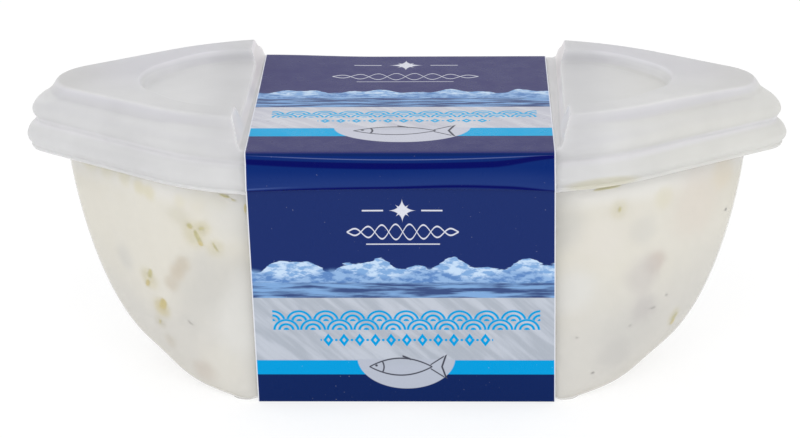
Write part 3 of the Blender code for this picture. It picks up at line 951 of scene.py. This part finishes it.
# Painted sheen on the top's badge
TOP_BADGE_SHEEN = screen_colour(198, 200, 213)
PALE = screen_colour(226, 228, 238)
CREST = screen_colour(196, 218, 242)
WAVE = screen_colour(128, 168, 216)
DEEP_WAVE = screen_colour(84, 124, 184)
WATER = screen_colour(60, 80, 128)
LINE = screen_colour(70, 72, 84)
BLUR = 0.07                  # half the width of a printed edge
CHAIN_LINE = 0.17            # half the widths of the chain's lines and of the two thin rules
STAR_RULE = 0.16
CHAIN_RULE = 0.12
DOT = 0.28                   # radius of the dots between the lozenges


def inside(value, low, high, blur=BLUR):
    """1 where a value lies between two limits, with soft edges."""
    return below(value, high, blur) * value.rise(low - blur, low + blur)


def star(across, along, size):
    """A star of four long and four short points."""
    def four(p, q, reach):
        return below((abs(p) / reach) ** 0.55 + (abs(q) / reach) ** 0.55, 1.0, 0.06)

    turned = (across + along) * 0.7071
    other = (across - along) * 0.7071
    return four(across, along, size).most(four(turned, other, size * 0.72))


def chain(across, along, half_width, height):
    """Two waving lines that cross to form a chain, lower towards its ends."""
    swing = (across * (math.pi * 4.0 / half_width)).sine()
    swing = swing * (1.0 - (across / half_width) ** 2.0 * 0.75) * (height / 2.0)
    line = below(abs(along - swing), CHAIN_LINE, BLUR)
    other = below(abs(along + swing), CHAIN_LINE, BLUR)
    return line.most(other) * below(abs(across), half_width, BLUR)


def from_cell(across, start, pitch, shift=0.0):
    """The place across within one cell of a row, counted from the cell's middle."""
    cell = (across - start) / pitch + shift
    return (cell - cell.math("FLOOR", cell) - 0.5) * pitch


def scales(across, along, start, end, low, high, cells):
    """Two staggered rows of round scales with rings, between two heights."""
    pitch = (end - start) / cells
    size = pitch / 2.0

    def radius(shift, foot):
        p = from_cell(across, start, pitch, shift)
        q = foot - along
        return (p ** 2.0 + q ** 2.0) ** 0.5 / size * q.rise(-0.05, 0.05, 99.0, 1.0)

    def rings(r):
        outer, inner = inside(r, 0.80, 0.985, 0.03), inside(r, 0.42, 0.62, 0.03)
        return outer.most(inner).most(below(r, 0.22, 0.03))

    near = radius(0.0, high)
    far = radius(0.5, low + size)
    hidden = below(near, 1.0, 0.02)
    return rings(near).most(rings(far) * (1.0 - hidden)) * inside(across, start, end)


def lozenges(across, along, start, end, low, high, cells):
    """A row of lozenges with a hole in each and dots between them."""
    pitch = (end - start) / cells
    p = from_cell(across, start, pitch)
    q = along - (low + high) / 2.0
    reach = abs(p) / (pitch * 0.33) + abs(q) / ((high - low) / 2.0)
    lozenge = below(reach, 1.0, 0.06) - below(reach, 0.35, 0.06)
    dot = below(((abs(p) - pitch / 2.0) ** 2.0 + q ** 2.0) ** 0.5, DOT, BLUR)
    return lozenge.most(dot) * inside(across, start, end)


def little_fish(across, along, length):
    """Line drawing of a plain fish that swims to the left: its lines, and its shade.

    All numbers are shares of half its length.
    """
    p = across / (length / 2.0)
    q = along / (length / 2.0)
    line, blur = 0.022, 0.012
    half_body = 0.27 * (1.0 - ((p + 0.15) / 0.83) ** 2.0)
    half_tail = (p - 0.6) * 0.75 + 0.03
    in_body = below(abs(q) - half_body, 0.0, 0.01)
    body = inside(abs(q) - half_body, -line, line, blur) * inside(p, -0.99, 0.69, 0.01)
    tail = inside(abs(q) - half_tail, -line, line, blur) * inside(p, 0.64, 1.0, 0.01)
    tail_end = inside(p - abs(q) * 0.3, 0.92, 0.97, blur) * below(abs(q) - half_tail, 0.0, 0.01)
    gill = inside(((p + 0.98) ** 2.0 + q ** 2.0) ** 0.5, 0.36, 0.40, blur) * in_body
    eye = below(((p + 0.80) ** 2.0 + (q + 0.04) ** 2.0) ** 0.5, 0.035, blur)
    fin = inside(q + half_body - (p - 0.1) * 0.35, -0.03, 0.03, blur) * inside(p, -0.1, 0.12, 0.01)
    lines = body.most(tail).most(tail_end).most(gill).most(eye).most(fin)
    return lines, in_body * q.rise(-0.16, 0.02, 0.55, 0.05)


def ridges(across, waves):
    """Height of a row of crests, a sum of waves: turn for each mm, start and height."""
    height = 0.0
    for turn, begin, swing in waves:
        height = (across * turn + begin).sine() * swing + height
    return height


def veined(p, q, fine_p, fine_q, layer, detail, roughness=0.5):
    """Noise over the card that is drawn out, by how fine it is along each of two directions."""
    stretched = p.node("CombineXYZ", {}, {0: p * fine_p, 1: q * fine_q, 2: layer})
    return stretched.mottle(1.0, detail, roughness)


def panel(place, u, v, at, ground):
    """The colour of one panel's print, from the places of its parts down the card."""
    size = at["size"]
    across_middle = u - at["middle"]
    beside = abs(across_middle) / size
    # A star between two rules, and below it a chain with a rule of its own
    emblem = star(across_middle, v - at["star"], size * 2.6)
    rules = below(abs(v - at["star"]), STAR_RULE, BLUR) * inside(beside, 3.6, 7.6)
    knot = chain(across_middle, v - at["chain"], size * 10.6, size * 3.4)
    rule = below(abs(v - at["chain"] - size * 2.7), CHAIN_RULE, BLUR) * below(beside, 7.0, BLUR)
    colour = (emblem.most(rules).most(knot).most(rule) * 0.9).mixed(ground, PALE)
    # Pale crests with darker ones before them, over streaked water
    spray = (place.times((1.0, 1.0, 3.0)).mottle(260.0, 4.0) - 0.5) * 2.0
    facet = veined(u, v, 0.45, 0.9, 5.0, 4.0, 0.6)
    crest = v - at["crest"] - (ridges(u, FAR_WAVES) + spray) * at["swell"]
    colour = crest.rise(-0.12, 0.12).mixed(colour, facet.rise(0.42, 0.58).mixed(WAVE, CREST))
    near_crest = v - at["crest"] - (ridges(u, NEAR_WAVES) + 1.5) * at["swell"]
    deeper = facet.rise(0.4, 0.6).mixed(DEEP_WAVE, WAVE)
    colour = (near_crest.rise(-0.5, 0.9) * 0.8).mixed(colour, deeper)
    water = veined(u, v, 0.10, 0.9, 0.0, 4.0).rise(0.40, 0.62).mixed(WATER, WAVE)
    colour = v.rise(at["water"] - 0.3, at["water"] + 0.3).mixed(colour, water)
    # A silver field that carries scales and lozenges, and stripes below it
    silk = veined(u + v, v - u, 0.05, 0.35, 2.0, 3.0)
    silver = silk.rise(0.35, 0.6).mixed(*at["silks"])
    colour = v.rise(at["silver"] - BLUR, at["silver"] + BLUR).mixed(colour, silver)
    rows = scales(u, v, *SCALE_ENDS, *at["scales"], SCALE_CELLS)
    rows = rows.most(lozenges(u, v, *LOZENGE_ENDS, *at["lozenges"], LOZENGE_CELLS))
    colour = rows.mixed(colour, at["cyan"])
    stripe, foot = at["stripe"]
    colour = v.rise(stripe - BLUR, stripe + BLUR).mixed(colour, at["cyan"])
    colour = v.rise(foot - BLUR, foot + BLUR).mixed(colour, at["foot"])
    # A pale oval that hangs down over them from the silver field, with a fish in it
    centre, half_length, half_height = at["badge"]
    reach = (across_middle / half_length) ** 2.0 + ((v - centre) / half_height) ** 2.0
    oval = below(reach ** 0.5, 1.0, 0.012) * v.rise(stripe - 0.5, stripe)
    colour = oval.mixed(colour, at["oval"])
    lines, shade = little_fish(across_middle, v - at["fish"][0], at["fish"][1])
    colour = (shade * 0.7).mixed(colour, SILVER_DARK)
    return lines.mixed(colour, LINE)


# Waves of the crests: turn for each mm, start and height
FAR_WAVES = ((0.41, 0.8, 0.8), (0.93, 2.1, 0.5))
NEAR_WAVES = ((0.36, 3.0, 0.8),)
# Left and right end of the two rows on the silver field, and how many each row holds
SCALE_ENDS = (-25.4, 26.2)
SCALE_CELLS = 10
LOZENGE_ENDS = (-16.3, 17.1)
LOZENGE_CELLS = 11
# Places in mm down the card, from the middle of its top to the front. On the top those
# towards the back are below 0. A badge and a fish give their middle's place, then their size
FRONT = {
    "middle": 0.2, "star": 46.0, "size": 1.0, "chain": 50.7, "crest": 58.0, "swell": 1.25,
    "water": 62.1, "silver": 65.5, "scales": (68.3, 72.9), "lozenges": (73.7, 76.7),
    "stripe": (79.9, 83.2), "badge": (79.3, 9.5, 7.2), "fish": (81.4, 14.6),
    "silks": (SILVER, SILVER_DARK), "cyan": CYAN, "oval": BADGE, "foot": NAVY_LOW,
}
TOP = {
    "middle": 0.2, "star": -26.5, "size": 1.4, "chain": -18.0, "crest": -7.2, "swell": 1.2,
    "water": -2.4, "silver": 3.9, "scales": (6.5, 11.0), "lozenges": (12.1, 14.6),
    "stripe": (18.2, 23.5), "badge": (17.6, 13.1, 9.8), "fish": (20.0, 18.9),
    "silks": (TOP_SILVER_SHEEN, TOP_SILVER_DARK_SHEEN), "cyan": TOP_CYAN_SHEEN, "oval": TOP_BADGE_SHEEN, "foot": TOP_NAVY_SHEEN,
}
# Bands of the creases' painted light and shade, counted down the card as the print is
FOLD_SHADE = (33.9, 34.45)
HIGHLIGHT_LINE = (35.08, 35.24)
HOLLOW_SHADE = (35.9, 37.15)
BEAD_STREAK = (40.0, 40.25)
BEAD_SHADOW = (40.45, 41.0)
FOLD_AT = (33.75, 33.95)     # where the top's print goes over to the side's
BASE_AT = (89.6, 89.9)       # and the side's to the plain base
WHITE_MARGIN = 0.2
print_ink, ink, shader = new_material("printed_card", {
    "Specular IOR Level": 0.045, "IOR": 1.5})
place = ink.own_place()
card_place = ink.node("UVMap", {"uv_map": "card"}, {})
across, along = card_place.part(0), card_place.part(1)
front = along.rise(-33.5, -33.4, -1.0, 1.0)
depth = abs(along)
fibre = place.mottle(2200.0, 2.0)
specks = place.mottle(1900.0, 1.0).rise(0.76, 0.82)
scuff = place.times((1.0, 1.0, 0.4)).mottle(300.0, 4.0)
# Painted light and shade on the varnished ink, in bands that bow across the card: painted shade
# where the card is pressed in at the fold and in the hollow below it, painted light on the belly
# above the lid's lower bead and a painted shadow under it. A fine painted highlight runs above the
# hollow, and a painted streak of light along the bead's left half
aside = (across / SLEEVE_HALF_WIDTH) ** 2.0
crease = depth + aside * 0.5
hollow = depth + aside * 0.25 + across.rise(17.0, 30.0) * 1.3
bead = depth - aside * 0.45 + across.rise(-4.0, 14.0) * across.rise(20.0, 31.0, 0.5, 0.0)
# Painted light on the belly and painted shadow under the lower bead
navy_light_and_shade = bead.rise(37.0, 40.2).mixed(NAVY, screen_colour(30, 53, 118))
navy_light_and_shade = bead.rise(40.3, 40.7).mixed(navy_light_and_shade, NAVY_MIDDLE)
navy_light_and_shade = inside(bead, *BEAD_SHADOW, 0.2).mixed(navy_light_and_shade, NAVY_CREASE_SHADE)
streak = inside(bead, *BEAD_STREAK, 0.12) * across.rise(-29.0, -17.0, 0.35, 0.0)
navy_light_and_shade = streak.mixed(navy_light_and_shade, screen_colour(96, 118, 180))
navy_light_and_shade = (inside(depth, *FOLD_SHADE, 0.15) * 0.8).mixed(navy_light_and_shade, NAVY_LOW)
navy_light_and_shade = inside(hollow, *HOLLOW_SHADE, 0.2).mixed(navy_light_and_shade, NAVY_CREASE_SHADE)
# A painted highlight on the card's rounding below the fold
highlight_above_hollow = inside(crease, *HIGHLIGHT_LINE, 0.08) * (0.38 - aside * 0.22)
navy_light_and_shade = highlight_above_hollow.mixed(navy_light_and_shade, screen_colour(150, 164, 214))
side_print = panel(place, across * front, depth, FRONT, navy_light_and_shade)
# The top's ground: painted sheen, mottled by scuffs
scuffed_sheen = scuff.rise(0.3, 0.7).mixed(TOP_NAVY_SHEEN, screen_colour(61, 60, 109))
colour = depth.rise(*FOLD_AT).mixed(panel(place, across, along, TOP, scuffed_sheen), side_print)
colour = depth.rise(*BASE_AT).mixed(colour, NAVY_LOW)
colour = (specks * 0.16).mixed(colour, PALE)
margin = below(abs(across), SLEEVE_HALF_WIDTH - WHITE_MARGIN, 0.04)
colour = margin.mixed(screen_colour(226, 228, 236), colour)
coat(shader,
     Base_Color=colour,
     Roughness=scuff.rise(0.3, 0.7, 0.26, 0.36),
     Normal=(fibre + scuff).relief(0.00006, 0.5))
new_piece("card_sleeve", sleeve_form, print_ink, "sleeve", 50.0)
